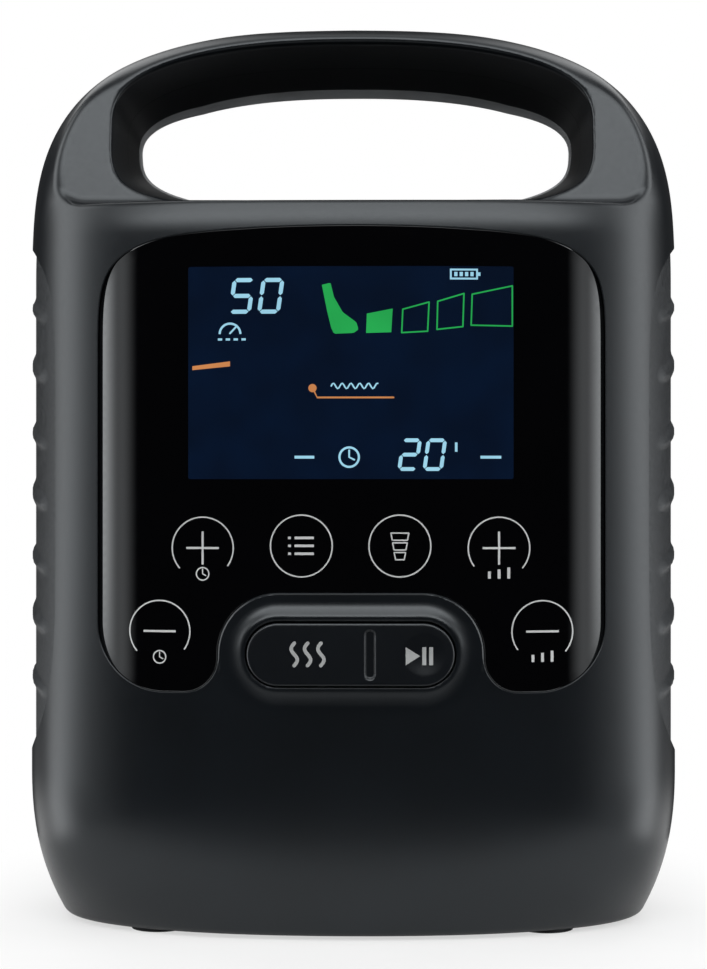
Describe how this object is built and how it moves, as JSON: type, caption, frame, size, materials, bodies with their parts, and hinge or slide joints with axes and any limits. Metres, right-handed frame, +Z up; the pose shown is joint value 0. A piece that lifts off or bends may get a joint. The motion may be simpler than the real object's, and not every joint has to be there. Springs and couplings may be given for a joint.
{
  "type": "compression therapy pump",
  "caption": "Table-top air pump for a compression sleeve: charcoal housing with arched carry handle, rubber side grips, glossy display panel, pill key and rear hose outlets.",
  "frame": {"origin": "middle of the footprint, at the height of the surface the feet stand on", "axes": "+Z up along the height, front face with display towards -Y, hose outlets towards +Y, +X to the right as seen from the front"},
  "size_m": [0.192, 0.107, 0.264],
  "materials": {
    "shell_plastic": "satin moulded charcoal plastic, fine grain",
    "grip_rubber": "matte moulded rubber with raised ribs",
    "gloss_panel": "piano black, high gloss",
    "key_plastic": "fine satin",
    "display_face": "dark blue lit display face",
    "clear_acrylic": "clear light guide",
    "polished_steel": "bright zinc-plated steel",
    "sheet_steel": "plain steel",
    "circuit_board": "green solder mask",
    "black_plastic": "black nylon",
    "grey_plastic": "mid grey moulded plastic",
    "polyimide_film": "amber flexible film",
    "battery_wrap": "blue heat-shrink wrap",
    "foot_rubber": "matte black rubber",
    "filter_foam": "open-cell foam",
    "red_silicone": "red silicone",
    "white_nylon": "natural nylon",
    "clear_silicone": "translucent silicone",
    "copper_winding": "enamelled copper wire",
    "cast_aluminium": "as-cast aluminium"
  },
  "bodies": {
    "housing": {"front_shell": "shell_plastic", "rear_shell": "shell_plastic", "side_grip_left": "grip_rubber", "side_grip_right": "grip_rubber", "control_panel": "gloss_panel", "panel_tape": "grey_plastic", "key_pivot_pin": "polished_steel", "key_board": "circuit_board", "tact_switches": "black_plastic", "display_glass": "display_face", "light_guide": "clear_acrylic", "display_frame": "sheet_steel", "display_carrier": "grey_plastic", "touch_film": "polyimide_film", "ribbon_cable": "polyimide_film", "main_board": "circuit_board", "board_components": "black_plastic", "pressure_sensor": "black_plastic", "small_screws": "polished_steel", "battery_cells": "battery_wrap", "battery_tray": "grey_plastic", "battery_cover": "shell_plastic", "battery_screws": "polished_steel", "feet": "foot_rubber", "housing_screws": "polished_steel", "dc_jack": "black_plastic", "heater_socket": "black_plastic", "power_switch": "black_plastic", "filter_cover": "shell_plastic", "filter_foam": "filter_foam", "hose_socket": "grey_plastic", "socket_seals": "red_silicone", "manifold_block": "white_nylon", "supply_tube": "clear_silicone", "sensor_tube": "clear_silicone", "valve_coil_1": "copper_winding", "valve_coil_2": "copper_winding", "valve_coil_3": "copper_winding", "valve_coil_4": "copper_winding", "valve_coil_5": "copper_winding", "pump_cradle": "sheet_steel", "pump_mounts": "foot_rubber", "pump_motor": "sheet_steel", "crankcase": "cast_aluminium", "diaphragm": "foot_rubber", "valve_plate": "white_nylon", "pump_head": "cast_aluminium", "pump_screws": "polished_steel"},
    "pill_key": {"rocker_key": "key_plastic"},
    "power_key": {"power_rocker": "black_plastic"},
    "crank": {"crankshaft": "sheet_steel"},
    "rod": {"connecting_rod": "white_nylon", "crank_bearing": "polished_steel", "diaphragm_clamp": "sheet_steel"},
    "valve_1": {"valve_plunger_1": "sheet_steel"},
    "valve_2": {"valve_plunger_2": "sheet_steel"},
    "valve_3": {"valve_plunger_3": "sheet_steel"},
    "valve_4": {"valve_plunger_4": "sheet_steel"},
    "valve_5": {"valve_plunger_5": "sheet_steel"}
  },
  "joints": [
    {"name": "key_tilt", "type": "hinge", "parent": "housing", "child": "pill_key", "pos_m": [0.0049, -0.044, 0.0813], "axis": [0, 0, 1], "range_deg": [-1.5, 1.5], "stiffness_Nm_per_rad": 2},
    {"name": "power_toggle", "type": "hinge", "parent": "housing", "child": "power_key", "pos_m": [0.036, 0.0465, 0.078], "axis": [0, 0, -1], "range_deg": [0, 20]},
    {"name": "crank_spin", "type": "hinge", "parent": "housing", "child": "crank", "pos_m": [-0.0005, -0.012, 0.035], "axis": [1, 0, 0], "continuous": true, "deforming": ["diaphragm"]},
    {"name": "rod_pivot", "type": "hinge", "parent": "crank", "child": "rod", "pos_m": [-0.0005, -0.012, 0.037], "axis": [1, 0, 0], "continuous": true},
    {"name": "valve_1_lift", "type": "slide", "parent": "housing", "child": "valve_1", "axis": [0, 0, 1], "range_m": [0, 0.0012], "stiffness_N_per_m": 200, "springref_m": -0.001},
    {"name": "valve_2_lift", "type": "slide", "parent": "housing", "child": "valve_2", "axis": [0, 0, 1], "range_m": [0, 0.0012], "stiffness_N_per_m": 200, "springref_m": -0.001},
    {"name": "valve_3_lift", "type": "slide", "parent": "housing", "child": "valve_3", "axis": [0, 0, 1], "range_m": [0, 0.0012], "stiffness_N_per_m": 200, "springref_m": -0.001},
    {"name": "valve_4_lift", "type": "slide", "parent": "housing", "child": "valve_4", "axis": [0, 0, 1], "range_m": [0, 0.0012], "stiffness_N_per_m": 200, "springref_m": -0.001},
    {"name": "valve_5_lift", "type": "slide", "parent": "housing", "child": "valve_5", "axis": [0, 0, 1], "range_m": [0, 0.0012], "stiffness_N_per_m": 200, "springref_m": -0.001}
  ],
  "couplings": [
    {"joint": "rod_pivot", "follows": "crank_spin", "ratio": -1}
  ]
}
